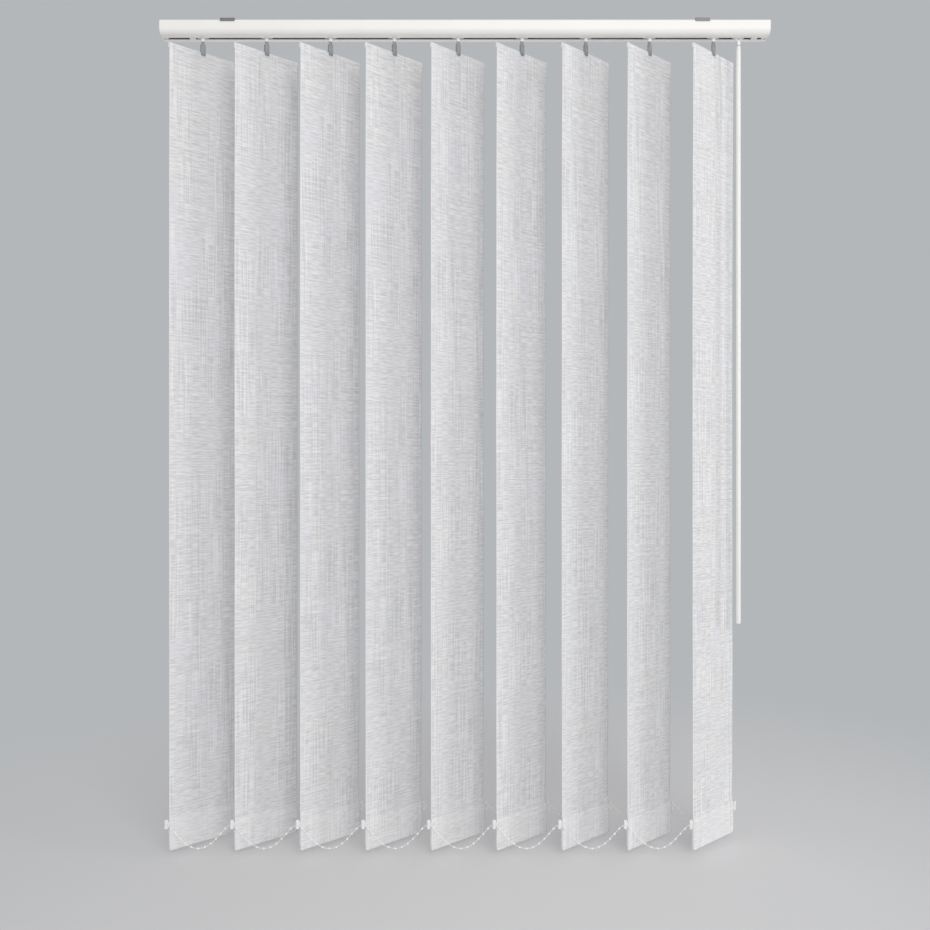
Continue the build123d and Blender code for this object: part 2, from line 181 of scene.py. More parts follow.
# %% Lamps
lamp_aim = (0.0, 0.0, -0.65)
lamps = {
    "front_lamp": {"place": (0.7, -3.2, 0.3), "power": 54.0, "size": 2.6},
    "side_lamp": {"place": (3.7, -1.0, -0.4), "power": 26.0, "size": 1.6},
    "back_lamp": {"place": (-0.4, 2.6, -1.3), "power": 10.0, "size": 1.8},
}
for name, values in lamps.items():
    lamp = in_scene(name, bpy.data.lights.new(name, "AREA"))
    lamp.data.energy = values["power"]
    lamp.data.size = values["size"]
    lamp.visible_camera = False
    lamp.location = values["place"]
    lamp.rotation_euler = (Vector(lamp_aim) - lamp.location).to_track_quat("-Z", "Y").to_euler()
print("lamps:", len(lamps))

# %% Floor that fades out
floor_gap = 0.012
floor_radius = 2.6
fade_start = 0.35
fade_share = 0.62
rim_points = 96
floor_colour = "#E3E3E3"
# matt pale paper: it takes the blind's shadow and melts into the backdrop
floor_material, tree, shader = new_material(
    "pale_studio_floor", {"Roughness": 0.9, "Base Color": linear(floor_colour)})
place = add(tree, "ShaderNodeTexCoord")
radius = add(tree, "ShaderNodeVectorMath", {"operation": "LENGTH"}, {0: place.outputs["Object"]})
fade = add(tree, "ShaderNodeMapRange", {
    "interpolation_type": "SMOOTHSTEP", "From Min": fade_start, "From Max": floor_radius * fade_share,
}, {"Value": radius.outputs["Value"]})
clear = add(tree, "ShaderNodeBsdfTransparent")
blend = add(tree, "ShaderNodeMixShader", {}, {0: fade, 1: shader, 2: clear})
tree.links.new(blend.outputs[0], tree.nodes["Material Output"].inputs["Surface"])

turns = [2 * math.pi * k / rim_points for k in range(rim_points)]
rim = [(floor_radius * math.cos(t), floor_radius * math.sin(t), 0) for t in turns]
floor = mesh_object("floor", rim, [list(range(rim_points))], floor_material)
floor.location.z = cad_box[0].z - floor_gap
print("floor at", round(floor.location.z, 3), "m")

# %% [markdown]
# The fabric
#
# The slats are a polyester linen-look weave, stiffened with resin and cut with a hot knife. The eye sees
# three things: short wavy slubs that run across the slat, long upright threads a few millimetres apart,
# and a smooth melted edge. Where the cloth lies double, round the weight, it looks paler, and a highlight
# is painted along the sharp fold over the hanger. A painted picture could show all this, but stretched
# noise stays sharp close up and differs from slat to slat. The weave itself is finer than the picture can
# show, so threads and slubs are drawn a little coarser. All patterns read the cloth's own UV map, so
# they follow the cloth round its folds.

# %% Fabric sizes, in millimetres
slat_low, slat_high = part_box("slat_5")
slat_top = -slat_high.z / MM
slat_bottom = -slat_low.z / MM
slat_width = 127.0
rest_angle = 43.5
fabric_thickness = 0.4
hem_height = 11.0
pocket_height = 56.0
weld_height = 1.2
cloth_length = slat_bottom - slat_top + hem_height + pocket_height
print("one slat's cloth, flat:", slat_width, "by", round(cloth_length), "mm")

# %% Pattern sizes on the cloth, in millimetres
slub_length = 15.0
slub_height = 1.75
pick_length = 90.0
pick_height = 2.1
thread_spacing = 2.9
thread_run = 110.0
bundle_width = 42.0
bundle_run = 160.0
patch_size = 46.0
patch_stretch = 1.6
weave_pitch = 0.9
selvedge_width = 2.4
# the width of the painted highlight along the fold over the hanger
fold_highlight_width = 2.4
relief_height = 0.1
print("threads across one slat:", round(slat_width / thread_spacing))

# %% Stiffened linen-look polyester
fabric, fabric_tree, fabric_shader = new_material("stiffened_linen_weave", {
    "Roughness": 0.82,
    "Sheen Weight": 0.12,
    "Sheen Roughness": 0.5,
    "Specular IOR Level": 0.35,
})
uv = add(fabric_tree, "ShaderNodeUVMap", {"uv_map": "UVMap"})
flat = add(fabric_tree, "ShaderNodeSeparateXYZ", {}, {0: uv})
each_slat = add(fabric_tree, "ShaderNodeObjectInfo")
own_cut = add(fabric_tree, "ShaderNodeVectorMath", {"operation": "SCALE", 0: (1.0, 1.0, 0.0)},
              {"Scale": each_slat.outputs["Random"]})
own_place = add(fabric_tree, "ShaderNodeVectorMath", {"operation": "ADD"}, {0: uv, 1: own_cut})


def cloth_noise(across, along, shift=0.0, detail=0.0, warp=0.0):
    """A noise whose grains are so many millimetres wide and long on the cloth."""
    mapped = add(fabric_tree, "ShaderNodeMapping", {
        "Location": (shift, shift, 0.0), "Scale": (slat_width / across, cloth_length / along, 1.0),
    }, {"Vector": own_place})
    return add(fabric_tree, "ShaderNodeTexNoise",
               {"noise_dimensions": "2D", "Scale": 1.0, "Detail": detail, "Distortion": warp},
               {"Vector": mapped})


slubs = cloth_noise(slub_length, slub_height, warp=0.2)
picks = cloth_noise(pick_length, pick_height, shift=7.0)
threads = cloth_noise(thread_spacing, thread_run, shift=13.0, detail=1.0)
bundles = cloth_noise(bundle_width, bundle_run, shift=23.0)
patches = cloth_noise(patch_size, patch_size * patch_stretch, detail=2.0, warp=0.6)
weave = cloth_noise(weave_pitch, weave_pitch, detail=1.0)

# %% From noise to grains
noise_middle = 0.5
soft = {"interpolation_type": "SMOOTHSTEP"}


def two_sides(noise, start, full):
    """How far a noise strays above its middle, and how far below, each as a share from 0 to 1."""
    return [
        add(fabric_tree, "ShaderNodeMapRange",
            {**soft, "From Min": noise_middle + sign * start, "From Max": noise_middle + sign * full},
            {"Value": noise})
        for sign in (1, -1)
    ]


bundled = add(fabric_tree, "ShaderNodeMapRange", {**soft, "From Min": 0.32, "From Max": 0.56},
              {"Value": bundles})
slub_light, slub_dark = two_sides(slubs, start=0.02, full=0.18)
pick_light, pick_dark = two_sides(picks, start=0.06, full=0.20)
thread_light, thread_dark = [
    add(fabric_tree, MATH, {"operation": "MULTIPLY"}, {0: side, 1: bundled})
    for side in two_sides(threads, start=0.03, full=0.18)
]

# %% From grains to the yarn's colour
slub_tone = 0.34
pick_tone = 0.24
thread_tone = 0.42
weave_tone = 0.24
patch_tone = 0.14
darkest = -0.4
lightest = 0.78
dark_yarn = "#CFCFD0"
light_yarn = "#EDEDED"


def weighed(parts):
    """The sum of several patterns, each times its own weight."""
    total = None
    for pattern, weight in parts:
        links = {0: pattern} if total is None else {0: pattern, 2: total}
        total = add(fabric_tree, MATH, {"operation": "MULTIPLY_ADD", 1: weight, 2: 0.0}, links)
    return total


lightness = weighed((
    (slub_light, slub_tone), (slub_dark, -slub_tone), (pick_light, pick_tone), (pick_dark, -pick_tone),
    (thread_light, thread_tone), (thread_dark, -thread_tone), (weave, weave_tone), (patches, patch_tone),
))
shade = add(fabric_tree, "ShaderNodeMapRange", {"From Min": darkest, "From Max": lightest},
            {"Value": lightness})
yarn = add(fabric_tree, "ShaderNodeMix",
           {"data_type": "RGBA", 6: linear(dark_yarn), 7: linear(light_yarn)}, {0: shade})

# %% Places on the cloth: edges, welds, doubled cloth and the painted highlight on the fold
hem_share = hem_height / cloth_length
pocket_share = 1 - 2 * pocket_height / cloth_length
weld_share = weld_height / cloth_length
band_core = 0.4


def band(centre, half_width):
    """1 on a line across the cloth, fading to 0 at its sides."""
    away = add(fabric_tree, MATH, {"operation": "SUBTRACT", 1: centre}, {0: flat.outputs["Y"]})
    size = add(fabric_tree, MATH, {"operation": "ABSOLUTE"}, {0: away})
    return add(fabric_tree, "ShaderNodeMapRange",
               {**soft, "From Min": half_width, "From Max": half_width * band_core}, {"Value": size})


# painted light: a faint lilac tint in patches, in place of light that comes through the cloth
painted_lilac_light = add(fabric_tree, "ShaderNodeMapRange", {**soft, "From Min": 0.46, "From Max": 0.72},
            {"Value": patches})
from_edge = add(fabric_tree, MATH, {"operation": "PINGPONG", 1: 0.5}, {0: flat.outputs["X"]})
selvedge = add(fabric_tree, "ShaderNodeMapRange", {
    **soft, "From Min": selvedge_width / slat_width, "From Max": selvedge_width * 0.5 / slat_width,
}, {"Value": from_edge})
double = add(fabric_tree, MATH, {"operation": "GREATER_THAN", 1: pocket_share}, {0: flat.outputs["Y"]})
welds = weighed(((band(2 * hem_share, weld_share), 1.0), (band(pocket_share, weld_share), 1.0)))
# painted highlight: a white band along the sharp fold over the hanger
painted_fold_highlight = band(hem_share, fold_highlight_width / cloth_length)

# %% Tints and relief of the fabric
# each colour, where it lies on the cloth and how far it pulls the yarn's colour
tint = yarn.outputs[2]
for hex_colour, pattern, strength in (
    # lilac painted light, in patches
    ("#DCDDE7", painted_lilac_light, 0.22),
    ("#EDEEEE", selvedge, 0.5),
    ("#F8F8F8", double, 0.22),
    ("#B9BABD", welds, 0.12),
    # white painted highlight along the fold over the hanger
    ("#FFFFFF", painted_fold_highlight, 0.7),
):
    share = add(fabric_tree, MATH, {"operation": "MULTIPLY", 1: strength}, {0: pattern})
    tinted = add(fabric_tree, "ShaderNodeMix", {"data_type": "RGBA", 7: linear(hex_colour)},
                 {0: share, 6: tint})
    tint = tinted.outputs[2]
fabric_tree.links.new(tint, fabric_shader.inputs["Base Color"])

# light grains stand up, while dark slubs and welds lie low
relief = weighed((
    (slub_light, 0.4), (slub_dark, -0.3), (pick_light, 0.3), (thread_light, 0.6),
    (weave, 0.6), (welds, -0.35),
))
bump = add(fabric_tree, "ShaderNodeBump", {"Strength": 0.5, "Distance": relief_height * MM},
           {"Height": relief})
fabric_tree.links.new(bump.outputs[0], fabric_shader.inputs["Normal"])
print("nodes in the fabric:", len(fabric_tree.nodes))

# %% [markdown]
# The cloth's line
#
# Seen from its side edge, the cloth is one long strip: it starts behind the top hem, goes up and over the
# hanger, hangs straight down the front, goes round the weight and ends behind the pocket. This cell lists
# that line as points, and the next ones spread it to its width.

# %% Sizes of the hem and the pocket, in millimetres
hem_reach = 1.0
hem_lean = 0.95
hem_ease = 220.0
pocket_reach = 1.2
pocket_front = 1.2
pocket_back = 1.25
pocket_lean = 0.5
pocket_ease = 14.0
fold_start = 0.5
notch_depth = 7.2
row_step = 9.0
half_cloth = fabric_thickness / 2
weld_gap = 1.1 * fabric_thickness
hem_end = -(slat_top + hem_height)
top_fold = -(slat_top + hem_reach + half_cloth)
notch_bottom = -(slat_top + notch_depth)
pocket_start = -(slat_bottom - pocket_height)
pocket_middle = (pocket_back - pocket_front) / 2
pocket_round = (pocket_back + pocket_front) / 2
bottom_fold = -(slat_bottom - pocket_round - half_cloth)
print("the pocket is", round(2 * pocket_round + fabric_thickness, 2), "mm thick")

# %% One slat's cloth seen from the side


def fold(middle, centre, reach, start, end, steps=8):
    """Points round a fold in the cloth, between two angles in degrees."""
    turns = [math.radians(start + (end - start) * k / steps) for k in range(steps + 1)]
    return [(middle + reach * math.cos(t), centre + reach * math.sin(t)) for t in turns]


def run(start_y, end_y, start, end):
    """Points down or up a straight stretch, a row step apart at most."""
    count = max(1, math.ceil(abs(end - start) / row_step))
    return [(start_y + (end_y - start_y) * k / count, start + (end - start) * k / count)
            for k in range(count + 1)]


# from the hem's weld up behind the hanger, over it and down to the weld again
line = [(weld_gap - hem_lean, hem_end - weld_height / 2), (weld_gap - hem_lean, hem_end + weld_height / 4)]
line += [(hem_reach, hem_end + weld_height), (hem_reach, notch_bottom)]
line += fold(0.0, top_fold, hem_reach, 0, 180)
line += [(-hem_reach, notch_bottom), (-hem_reach, hem_end + weld_height)]

# down the front to the pocket's weld
line += run(-hem_lean, 0.0, hem_end - weld_height, hem_end - hem_ease)
line += run(0.0, 0.0, hem_end - hem_ease, pocket_start + pocket_ease)[1:]
line += [(-pocket_lean, pocket_start + weld_height / 2), (-pocket_lean, pocket_start - weld_height / 2)]

# down the front of the pocket, round the weight and up to the weld
line += run(-pocket_reach, -pocket_front, pocket_start - 3 * weld_height, bottom_fold + fold_start)
line += fold(pocket_middle, bottom_fold, pocket_round, 180, 360)
line += run(pocket_back, pocket_reach, bottom_fold + fold_start, pocket_start - 3 * weld_height)
line += [(weld_gap - pocket_lean, pocket_start - weld_height), (weld_gap - pocket_lean, pocket_start)]
print("rows in the cloth:", len(line))

# %% The line as a curve


def poly_curve(name, lines):
    """A curve with one straight-sided spline for each list of points, in metres."""
    data = bpy.data.curves.new(name, "CURVE")
    data.dimensions = "3D"
    for points in lines:
        spline = data.splines.new("POLY")
        spline.points.add(len(points) - 1)
        for spot, place in zip(spline.points, points):
            spot.co = (*place, 1.0)
    return data


cloth_line = poly_curve("cloth_line", [[(0.0, y * MM, z * MM) for y, z in line]])

# %% [markdown]
# Nine slats from one tree
#
# All nine slats are the same cloth, so one Geometry Nodes tree makes them. It lays a grid with one row
# for each point of the line, moves each row to its point, bows the cloth a little, cuts the notch for the
# stem, rounds the bottom corners and turns the slat to its angle. A draped simulation could do it too, but
# stiffened cloth hangs nearly flat, and a rule keeps its folds sharp. Each slat only gives its own place
# and its own gentle bow, because no hung cloth is perfectly flat. Solidify then gives it its thickness.

# %% How a tree starts and ends


def new_tree(name, inputs):
    """A Geometry Nodes tree with named inputs, their identifiers and their sockets inside the tree."""
    tree = bpy.data.node_groups.new(name, "GeometryNodeTree")
    identifiers = {}
    for label, (kind, value) in inputs.items():
        socket = tree.interface.new_socket(label, in_out="INPUT", socket_type=kind)
        if value is not None:
            socket.default_value = value
        identifiers[label] = socket.identifier
    tree.interface.new_socket("Geometry", in_out="OUTPUT", socket_type="NodeSocketGeometry")
    return tree, identifiers, tree.nodes.new("NodeGroupInput").outputs


def end_tree(tree, geometry, material):
    """Ends a tree: its instances are made real, shaded smooth and given their material."""
    real = add(tree, "GeometryNodeRealizeInstances", {}, {"Geometry": geometry})
    smooth = add(tree, "GeometryNodeSetShadeSmooth", {}, {"Geometry": real})
    dressed = add(tree, "GeometryNodeSetMaterial", {}, {"Geometry": smooth, "Material": material})
    add(tree, "NodeGroupOutput", {}, {0: dressed})
    print("nodes in", tree.name + ":", len(tree.nodes))


# %% The slat tree and its inputs
columns = 63
notch_width = 14.0
corner_radius = 4.0
rear_neck = 2.4
neck_fade = 110.0
slat_tree, slat_inputs, given = new_tree("hung_cloth", {
    "Geometry": ("NodeSocketGeometry", None),
    "Width": ("NodeSocketFloat", slat_width * MM),
    "Columns": ("NodeSocketInt", columns),
    "Notch Width": ("NodeSocketFloat", notch_width * MM),
    "Notch Height": ("NodeSocketFloat", notch_bottom * MM),
    "Corner Radius": ("NodeSocketFloat", corner_radius * MM),
    "Lowest": ("NodeSocketFloat", -slat_bottom * MM),
    "Highest": ("NodeSocketFloat", -slat_top * MM),
    "Neck": ("NodeSocketFloat", rear_neck * MM),
    "Neck Height": ("NodeSocketFloat", pocket_start * MM),
    "Bow": ("NodeSocketFloat", 0.0),
    "Wave": ("NodeSocketFloat", 0.0),
    "Seed": ("NodeSocketFloat", 0.0),
    "Turn": ("NodeSocketFloat", math.radians(rest_angle)),
    "Place": ("NodeSocketVector", None),
    "Cloth": ("NodeSocketMaterial", None),
})

# %% Rows and columns of the cloth
line_size = add(slat_tree, "GeometryNodeAttributeDomainSize", {"component": "CURVE"},
                {"Geometry": given["Geometry"]})
rows = line_size.outputs["Point Count"]
stations = add(slat_tree, MATH, {"operation": "ADD", 1: 1.0}, {0: given["Columns"]})
grid = add(slat_tree, "GeometryNodeMeshGrid", {"Size X": 1.0, "Size Y": 1.0},
           {"Vertices X": stations, "Vertices Y": rows})
index = add(slat_tree, "GeometryNodeInputIndex")
half_on = add(slat_tree, MATH, {"operation": "ADD", 1: 0.5}, {0: index})
counted = add(slat_tree, MATH, {"operation": "DIVIDE"}, {0: half_on, 1: rows})
column = add(slat_tree, MATH, {"operation": "FLOOR"}, {0: counted})
before = add(slat_tree, MATH, {"operation": "MULTIPLY"}, {0: column, 1: rows})
row = add(slat_tree, MATH, {"operation": "SUBTRACT"}, {0: index, 1: before})
across = add(slat_tree, MATH, {"operation": "DIVIDE"}, {0: column, 1: given["Columns"]})
off_centre = add(slat_tree, MATH, {"operation": "SUBTRACT", 1: 0.5}, {0: across})

place = add(slat_tree, "GeometryNodeInputPosition")
at_row = add(slat_tree, "GeometryNodeSampleIndex", {"data_type": "FLOAT_VECTOR", "domain": "POINT"},
             {"Geometry": given["Geometry"], "Value": place, "Index": row})
along = add(slat_tree, "GeometryNodeSplineParameter")
length_at_row = add(slat_tree, "GeometryNodeSampleIndex", {"data_type": "FLOAT", "domain": "POINT"},
                    {"Geometry": given["Geometry"], "Value": along.outputs["Factor"], "Index": row})
point = add(slat_tree, "ShaderNodeSeparateXYZ", {}, {0: at_row})

# %% Bottom corners and neck
# the corners: a row near the lowest edge is drawn in along a quarter circle
up = add(slat_tree, MATH, {"operation": "SUBTRACT"}, {0: point.outputs["Z"], 1: given["Lowest"]})
below = add(slat_tree, MATH, {"operation": "SUBTRACT"}, {0: given["Corner Radius"], 1: up})
missing = add(slat_tree, MATH, {"operation": "MAXIMUM", 1: 0.0}, {0: below})
radius_squared = add(slat_tree, MATH, {"operation": "POWER", 1: 2.0}, {0: given["Corner Radius"]})
missing_squared = add(slat_tree, MATH, {"operation": "POWER", 1: 2.0}, {0: missing})
side_squared = add(slat_tree, MATH, {"operation": "SUBTRACT"}, {0: radius_squared, 1: missing_squared})
side = add(slat_tree, MATH, {"operation": "SQRT"}, {0: side_squared})
drawn_in = add(slat_tree, MATH, {"operation": "SUBTRACT"}, {0: given["Corner Radius"], 1: side})
at_both = add(slat_tree, MATH, {"operation": "MULTIPLY", 1: 2.0}, {0: drawn_in})
full = add(slat_tree, MATH, {"operation": "SUBTRACT"}, {0: given["Width"], 1: at_both})
square = add(slat_tree, MATH, {"operation": "MULTIPLY"}, {0: off_centre, 1: full})

# the neck: just above the pocket the rear edge draws in, and it eases out upwards
above_pocket = add(slat_tree, MATH, {"operation": "SUBTRACT"},
                   {0: point.outputs["Z"], 1: given["Neck Height"]})
fading = add(slat_tree, MATH, {"operation": "DIVIDE", 1: -neck_fade * MM}, {0: above_pocket})
eased = add(slat_tree, MATH, {"operation": "EXPONENT"}, {0: fading})
only_above = add(slat_tree, MATH, {"operation": "GREATER_THAN", 1: 0.0}, {0: above_pocket})
neck_share = add(slat_tree, MATH, {"operation": "MULTIPLY"}, {0: eased, 1: only_above})
necked = add(slat_tree, MATH, {"operation": "MULTIPLY"}, {0: neck_share, 1: given["Neck"]})
at_rear = add(slat_tree, MATH, {"operation": "MULTIPLY"}, {0: necked, 1: across})
from_middle = add(slat_tree, MATH, {"operation": "SUBTRACT"}, {0: square, 1: at_rear})

# %% Bow and wave
# both are none at the hanger and the weight, and most halfway down
wave_length = 312.5
tall = add(slat_tree, MATH, {"operation": "SUBTRACT"}, {0: given["Highest"], 1: given["Lowest"]})
height = add(slat_tree, MATH, {"operation": "DIVIDE"}, {0: up, 1: tall})
down = add(slat_tree, MATH, {"operation": "SUBTRACT", 0: 1.0}, {1: height})
falling = add(slat_tree, MATH, {"operation": "MULTIPLY"}, {0: height, 1: down})
swell = add(slat_tree, MATH, {"operation": "MULTIPLY", 1: 4.0}, {0: falling})
to_edge = add(slat_tree, MATH, {"operation": "MULTIPLY", 1: 2.0}, {0: off_centre})
curved = add(slat_tree, MATH, {"operation": "POWER", 1: 2.0}, {0: to_edge})
curl = add(slat_tree, MATH, {"operation": "SUBTRACT", 1: 0.5}, {0: curved})
bow_share = add(slat_tree, MATH, {"operation": "MULTIPLY"}, {0: curl, 1: swell})
bowed = add(slat_tree, MATH, {"operation": "MULTIPLY"}, {0: bow_share, 1: given["Bow"]})

wave_at = add(slat_tree, "ShaderNodeCombineXYZ", {},
              {"X": from_middle, "Y": given["Seed"], "Z": point.outputs["Z"]})
slow = add(slat_tree, "ShaderNodeTexNoise", {"Scale": 1 / (wave_length * MM), "Detail": 0.0},
           {"Vector": wave_at})
swing = add(slat_tree, MATH, {"operation": "SUBTRACT", 1: 0.5}, {0: slow})
wave_share = add(slat_tree, MATH, {"operation": "MULTIPLY"}, {0: swing, 1: swell})
waved = add(slat_tree, MATH, {"operation": "MULTIPLY"}, {0: wave_share, 1: given["Wave"]})
off_flat = add(slat_tree, MATH, {"operation": "ADD"}, {0: bowed, 1: waved})
depth = add(slat_tree, MATH, {"operation": "ADD"}, {0: point.outputs["Y"], 1: off_flat})
spread = add(slat_tree, "ShaderNodeCombineXYZ", {}, {"X": from_middle, "Y": depth, "Z": point.outputs["Z"]})
laid = add(slat_tree, "GeometryNodeSetPosition", {}, {"Geometry": grid.outputs["Mesh"], "Position": spread})

# %% UV map, notch and place
# the UV map goes from 0 to 1 over the width and over the cloth's whole length
map_point = add(slat_tree, "ShaderNodeCombineXYZ", {}, {"X": across, "Y": length_at_row})
on_points = add(slat_tree, "GeometryNodeFieldOnDomain", {"data_type": "FLOAT_VECTOR", "domain": "POINT"},
                {"Value": map_point})
mapped = add(slat_tree, "GeometryNodeStoreNamedAttribute",
             {"data_type": "FLOAT2", "domain": "CORNER", "Name": "UVMap"},
             {"Geometry": laid, "Value": on_points})

# the notch clears the stem's fork
here = add(slat_tree, "ShaderNodeSeparateXYZ", {}, {0: place})
sideways = add(slat_tree, MATH, {"operation": "ABSOLUTE"}, {0: here.outputs["X"]})
notch_half = add(slat_tree, MATH, {"operation": "MULTIPLY", 1: 0.5}, {0: given["Notch Width"]})
beside = add(slat_tree, MATH, {"operation": "LESS_THAN"}, {0: sideways, 1: notch_half})
above = add(slat_tree, MATH, {"operation": "GREATER_THAN"},
            {0: here.outputs["Z"], 1: given["Notch Height"]})
in_notch = add(slat_tree, MATH, {"operation": "MULTIPLY"}, {0: beside, 1: above})
cut = add(slat_tree, "GeometryNodeDeleteGeometry", {"domain": "FACE"},
          {"Geometry": mapped, "Selection": in_notch})

turn = add(slat_tree, "ShaderNodeCombineXYZ", {}, {"Z": given["Turn"]})
hung = add(slat_tree, "GeometryNodeTransform", {},
           {"Geometry": cut, "Translation": given["Place"], "Rotation": turn})
end_tree(slat_tree, hung, given["Cloth"])

# %% A plain mesh from a modifier


def applied(piece):
    """The piece's mesh with its modifiers worked in."""
    graph = bpy.context.evaluated_depsgraph_get()
    return bpy.data.meshes.new_from_object(piece.evaluated_get(graph), depsgraph=graph)


def made_by(tree, base, values, name):
    """Runs a tree on a base curve with its input values. The result is an object with a plain mesh."""
    maker = in_scene(name + "_maker", base)
    modifier = maker.modifiers.new("maker", "NODES")
    modifier.node_group = tree
    for identifier, value in values.items():
        modifier[identifier] = value
    mesh = applied(maker)
    mesh.name = name
    bpy.data.objects.remove(maker)
    return in_scene(name, mesh)


def stem_axis(number):
    """Where the upright axis of a stem stands, as x and y in metres."""
    low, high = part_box(f"stem_{number}")
    return (low.x + high.x) / 2, (low.y + high.y) / 2


# %% Hang the nine slats
slat_count = 9
bows = (1.2, 0.8, 1.4, 1.0, 0.7, 1.3, 0.9, 1.1, 1.5)
wave_height = 1.6
seed_step = 7.3
cloths = []
for number in range(1, slat_count + 1):
    cloth = made_by(slat_tree, cloth_line, {
        slat_inputs["Bow"]: bows[number - 1] * MM,
        slat_inputs["Wave"]: wave_height * MM,
        slat_inputs["Seed"]: number * seed_step,
        slat_inputs["Place"]: (*stem_axis(number), 0.0),
        slat_inputs["Cloth"]: fabric,
    }, f"cloth_{number}")
    thick = cloth.modifiers.new("thickness", "SOLIDIFY")
    thick.thickness = fabric_thickness * MM
    thick.offset = 0.0
    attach(cloth, f"vane_{number}")
    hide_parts(f"slat_{number}")
    cloths.append(cloth)
spread_uv = [loop.uv for loop in cloths[0].data.uv_layers["UVMap"].data]
print("faces in one slat:", len(cloths[0].data.polygons), "and its UV map reaches",
      round(max(p.x for p in spread_uv), 3), round(max(p.y for p in spread_uv), 3))

# %% [markdown]
# Metals and plastics
#
# The rail is extruded aluminium with a satin powder coat. The small parts are moulded: white carriers, a
# clouded clear stem, milky hangers and a glossy white chain and wand. A flat colour would make them look
# like paper, so each gets its own roughness, faint blotches in colour and gloss, and a fine relief.

# %% How a moulded or coated surface is made
blotch_size = 60
noise_low = 0.3
noise_high = 0.7
gloss_swing = 0.05


def moulded(name, colours, roughness, grain, relief, settings=None):
    """A surface that drifts between two colours, with a relief of so fine a grain and height, in mm."""
    material, tree, shader = new_material(name, {"Roughness": roughness, **(settings or {})})
    place = add(tree, "ShaderNodeTexCoord").outputs["Object"]
    fine = add(tree, "ShaderNodeTexNoise", {"Scale": 1 / (grain * MM), "Detail": 2.0}, {"Vector": place})
    broad = add(tree, "ShaderNodeTexNoise", {"Scale": 1 / (blotch_size * MM), "Detail": 2.0},
                {"Vector": place})
    span = {"From Min": noise_low, "From Max": noise_high}
    shift = add(tree, "ShaderNodeMapRange", span, {"Value": broad})
    dark, light = colours
    tone = add(tree, "ShaderNodeMix", {"data_type": "RGBA", 6: linear(dark), 7: linear(light)}, {0: shift})
    tree.links.new(tone.outputs[2], shader.inputs["Base Color"])
    rough = add(tree, "ShaderNodeMapRange",
                {**span, "To Min": roughness - gloss_swing, "To Max": roughness + gloss_swing},
                {"Value": broad})
    tree.links.new(rough.outputs[0], shader.inputs["Roughness"])
    bump = add(tree, "ShaderNodeBump", {"Strength": 0.35, "Distance": relief * MM}, {"Height": fine})
    tree.links.new(bump.outputs[0], shader.inputs["Normal"])
    return material


# %% Finishes of the hardware
# powder coat baked on aluminium: a wide soft sheen with a trace of orange peel
powder_coat = moulded("satin_powder_coat", ("#F6F4EF", "#FAF8F4"), 0.42, 0.8, 0.03)
# ABS from a finely eroded mould: flatter and a touch glossier than the coat
cap_plastic = moulded("moulded_abs_cap", ("#F1EFEA", "#F6F4F0"), 0.38, 0.5, 0.02)
# rolled spring steel under dull zinc, with a hazy metal reflection: its grey is partly the zinc's own and
# partly painted shade, as dark as the bracket looks in shade
spring_steel = moulded("zinc_plated_spring_steel", ("#7D7C7A", "#8A8987"), 0.45, 0.6, 0.02,
                       {"Metallic": 0.6})
# drawn and anodised aluminium: a metal shine that its oxide softens
anodised = moulded("anodised_aluminium_rod", ("#B9BABC", "#C4C5C7"), 0.35, 0.5, 0.01, {"Metallic": 1.0})
# moulded acetal: dense white with a waxy half gloss
acetal = moulded("white_acetal", ("#E9E9E8", "#EFEFEE"), 0.4, 0.5, 0.01)
# moulded clouded polycarbonate: light passes it blurred, so that it looks grey
clouded = moulded("clouded_clear_polycarbonate", ("#B4B6B9", "#BFC1C4"), 0.25, 0.6, 0.01,
                  {"Transmission Weight": 0.55, "IOR": 1.58})
# extruded PVC strip: milky, because a little light goes in under its skin
milky = moulded("milky_pvc_strip", ("#DDDEDF", "#E6E7E8"), 0.45, 0.6, 0.01, {"Subsurface Weight": 0.1})
# steel dipped in white paint: matt and slightly uneven
weight_paint = moulded("painted_steel_weight", ("#E4E4E4", "#EBEBEB"), 0.4, 0.7, 0.02)
# moulded polypropylene: bright white and smooth
chain_plastic = moulded("white_polypropylene", ("#F3F3F2", "#F8F8F7"), 0.32, 0.6, 0.01)
# extruded acrylic: nearly white under a clear glossy skin
wand_plastic = moulded("extruded_white_acrylic", ("#EFF0EC", "#F3F3F0"), 0.22, 0.8, 0.005,
                       {"Coat Weight": 0.3})
# the tip's own moulding: whiter and a little duller than the wand
tip_plastic = moulded("moulded_white_tip", ("#F0F0EF", "#F4F4F3"), 0.3, 0.6, 0.01)

# %% Dress the hardware
# a node takes the finish of the longest of these names that it starts with
finishes = {
    "headrail": powder_coat, "end_cap": cap_plastic, "bracket": spring_steel, "track_stops": acetal,
    "tilt_rod": anodised, "carrier": acetal, "stem": clouded, "hanger": milky, "weight": weight_paint,
    "front_chain": chain_plastic, "rear_chain": chain_plastic, "wand_carrier": acetal,
    "wand_yoke": acetal, "wand_link": acetal, "wand_tip": tip_plastic, "wand": wand_plastic,
}
for name, node in nodes.items():
    match = [key for key in finishes if name.startswith(key)]
    if match:
        node.data.materials.clear()
        node.data.materials.append(finishes[max(match, key=len)])
print("finishes:", len(set(finishes.values())))

# %% [markdown]
# The headrail
#
# The rail is one extrusion, so it is one outline run along X. The outline's lower corners are large
# and round, and it is open below, where the carriers look out. A drawn outline with true arcs gives
# the soft shading on the round corner better than the frame's few flat strips.

# %% Outline with rounded corners


